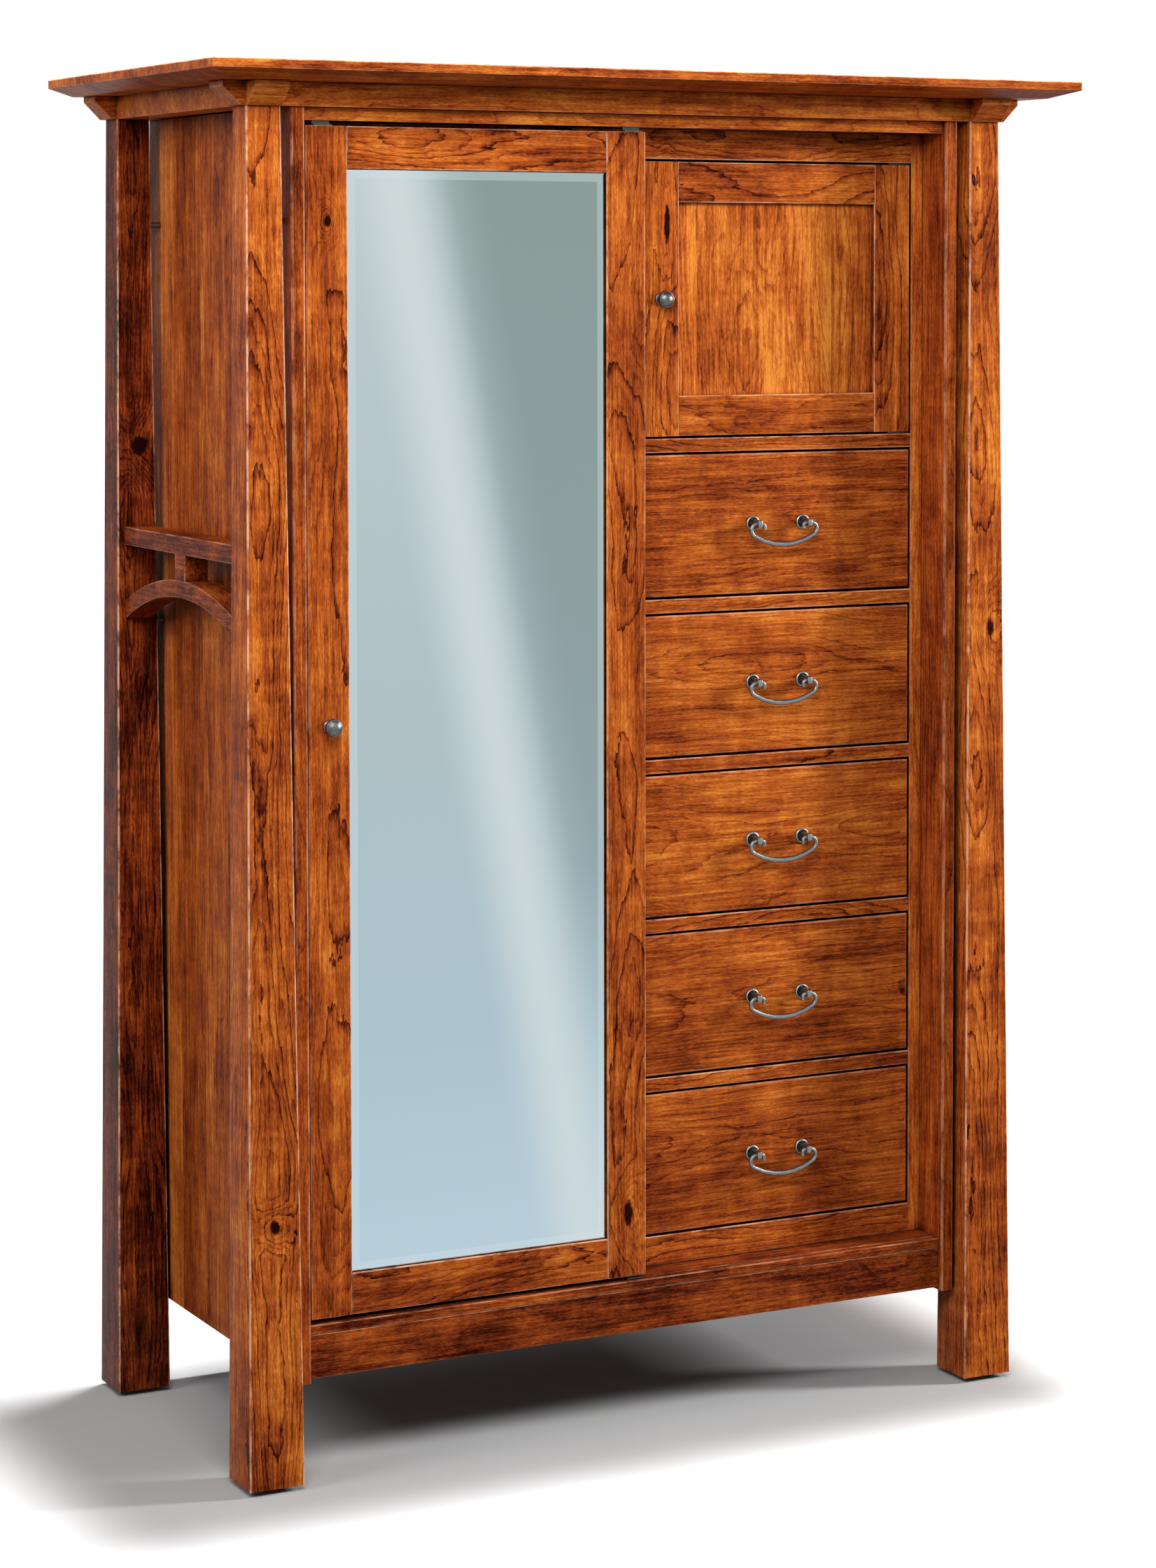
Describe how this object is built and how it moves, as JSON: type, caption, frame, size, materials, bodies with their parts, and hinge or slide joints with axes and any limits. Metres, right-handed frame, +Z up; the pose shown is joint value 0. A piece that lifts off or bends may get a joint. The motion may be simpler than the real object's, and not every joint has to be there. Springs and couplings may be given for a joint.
{
  "type": "jewelry armoire",
  "caption": "Tall wooden jewelry armoire on tapered outer legs, with a sliding full-length mirror door beside a small cabinet door over a bank of drawers.",
  "frame": {"origin": "on the floor, at the middle of the whole outline", "axes": "+X to the viewer's right, +Y to the back, +Z up; the front faces -Y"},
  "size_m": [1.256, 0.627, 1.7945],
  "materials": {
    "cherry_wood": "satin lacquered red-brown cherry",
    "drawer_wood": "clear-sealed pale hardwood",
    "pale_wood": "plain sanded softwood",
    "backing_ply": "thin stained plywood",
    "mirror": "silvered plate glass with a ground bevel",
    "antique_pewter": "antiqued dark pewter",
    "steel": "zinc-plated steel",
    "hinge_steel": "bronzed steel",
    "nylon_roller": "moulded nylon",
    "nylon_guide": "moulded nylon",
    "nylon_glide": "brown nylon"
  },
  "bodies": {
    "case": {"top_board": "cherry_wood", "crown_rails": "cherry_wood", "front_legs": "cherry_wood", "rear_legs": "cherry_wood", "glides": "nylon_glide", "leg_bolts": "steel", "side_shelf_rails": "cherry_wood", "side_arches": "cherry_wood", "side_posts": "cherry_wood", "side_panels": "cherry_wood", "partition": "cherry_wood", "case_back": "backing_ply", "case_top": "cherry_wood", "case_bottom": "cherry_wood", "door_sill": "cherry_wood", "bottom_apron": "cherry_wood", "track_fascia": "cherry_wood", "door_track": "steel", "floor_guide": "nylon_guide", "cleats": "pale_wood", "face_stiles": "cherry_wood", "face_rails": "cherry_wood", "drawer_runners": "pale_wood", "shelves": "cherry_wood", "shelf_pins": "steel", "necklace_rail": "cherry_wood", "necklace_hooks": "antique_pewter", "hinge_leaves_case": "hinge_steel"},
    "mirror_door": {"door_stiles": "cherry_wood", "door_rails": "cherry_wood", "mirror_glass": "mirror", "mirror_back": "backing_ply", "door_knob": "antique_pewter", "door_hangers": "steel"},
    "left_roller": {"roller_left": "nylon_roller"},
    "right_roller": {"roller_right": "nylon_roller"},
    "cabinet_door": {"cabinet_frame": "cherry_wood", "cabinet_panel": "cherry_wood", "cabinet_knob": "antique_pewter", "hinge_leaves_door": "hinge_steel"},
    "drawer_1": {"drawer_1_front": "cherry_wood", "drawer_1_box": "drawer_wood", "pull_1": "antique_pewter"},
    "bail_1_body": {"bail_1": "antique_pewter"},
    "drawer_2": {"drawer_2_front": "cherry_wood", "drawer_2_box": "drawer_wood", "pull_2": "antique_pewter"},
    "bail_2_body": {"bail_2": "antique_pewter"},
    "drawer_3": {"drawer_3_front": "cherry_wood", "drawer_3_box": "drawer_wood", "pull_3": "antique_pewter"},
    "bail_3_body": {"bail_3": "antique_pewter"},
    "drawer_4": {"drawer_4_front": "cherry_wood", "drawer_4_box": "drawer_wood", "pull_4": "antique_pewter"},
    "bail_4_body": {"bail_4": "antique_pewter"},
    "drawer_5": {"drawer_5_front": "cherry_wood", "drawer_5_box": "drawer_wood", "pull_5": "antique_pewter"},
    "bail_5_body": {"bail_5": "antique_pewter"}
  },
  "joints": [
    {"name": "door_slide", "type": "slide", "parent": "case", "child": "mirror_door", "axis": [-1, 0, 0], "range_m": [-0.45, 0]},
    {"name": "left_roller_spin", "type": "hinge", "parent": "mirror_door", "child": "left_roller", "pos_m": [-0.438, -0.189, 1.73753], "axis": [0, 1, 0], "continuous": true},
    {"name": "right_roller_spin", "type": "hinge", "parent": "mirror_door", "child": "right_roller", "pos_m": [0.001, -0.189, 1.73753], "axis": [0, 1, 0], "continuous": true},
    {"name": "cabinet_door_swing", "type": "hinge", "parent": "case", "child": "cabinet_door", "pos_m": [0.4455, -0.1535, 1.5], "axis": [0, 0, 1], "range_deg": [0, 95]},
    {"name": "drawer_1_slide", "type": "slide", "parent": "case", "child": "drawer_1", "axis": [0, -1, 0], "range_m": [0, 0.3]},
    {"name": "bail_1_swing", "type": "hinge", "parent": "drawer_1", "child": "bail_1_body", "pos_m": [0.2415, -0.176, 1.1975], "axis": [-1, 0, 0], "range_deg": [0, 90]},
    {"name": "drawer_2_slide", "type": "slide", "parent": "case", "child": "drawer_2", "axis": [0, -1, 0], "range_m": [0, 0.3]},
    {"name": "bail_2_swing", "type": "hinge", "parent": "drawer_2", "child": "bail_2_body", "pos_m": [0.2415, -0.176, 0.9825], "axis": [-1, 0, 0], "range_deg": [0, 90]},
    {"name": "drawer_3_slide", "type": "slide", "parent": "case", "child": "drawer_3", "axis": [0, -1, 0], "range_m": [0, 0.3]},
    {"name": "bail_3_swing", "type": "hinge", "parent": "drawer_3", "child": "bail_3_body", "pos_m": [0.2415, -0.176, 0.7675], "axis": [-1, 0, 0], "range_deg": [0, 90]},
    {"name": "drawer_4_slide", "type": "slide", "parent": "case", "child": "drawer_4", "axis": [0, -1, 0], "range_m": [0, 0.3]},
    {"name": "bail_4_swing", "type": "hinge", "parent": "drawer_4", "child": "bail_4_body", "pos_m": [0.2415, -0.176, 0.5525], "axis": [-1, 0, 0], "range_deg": [0, 90]},
    {"name": "drawer_5_slide", "type": "slide", "parent": "case", "child": "drawer_5", "axis": [0, -1, 0], "range_m": [0, 0.3]},
    {"name": "bail_5_swing", "type": "hinge", "parent": "drawer_5", "child": "bail_5_body", "pos_m": [0.2415, -0.176, 0.3375], "axis": [-1, 0, 0], "range_deg": [0, 90]}
  ],
  "couplings": [
    {"joint": "left_roller_spin", "follows": "door_slide", "rad_per_m": -125},
    {"joint": "right_roller_spin", "follows": "door_slide", "rad_per_m": -125}
  ]
}
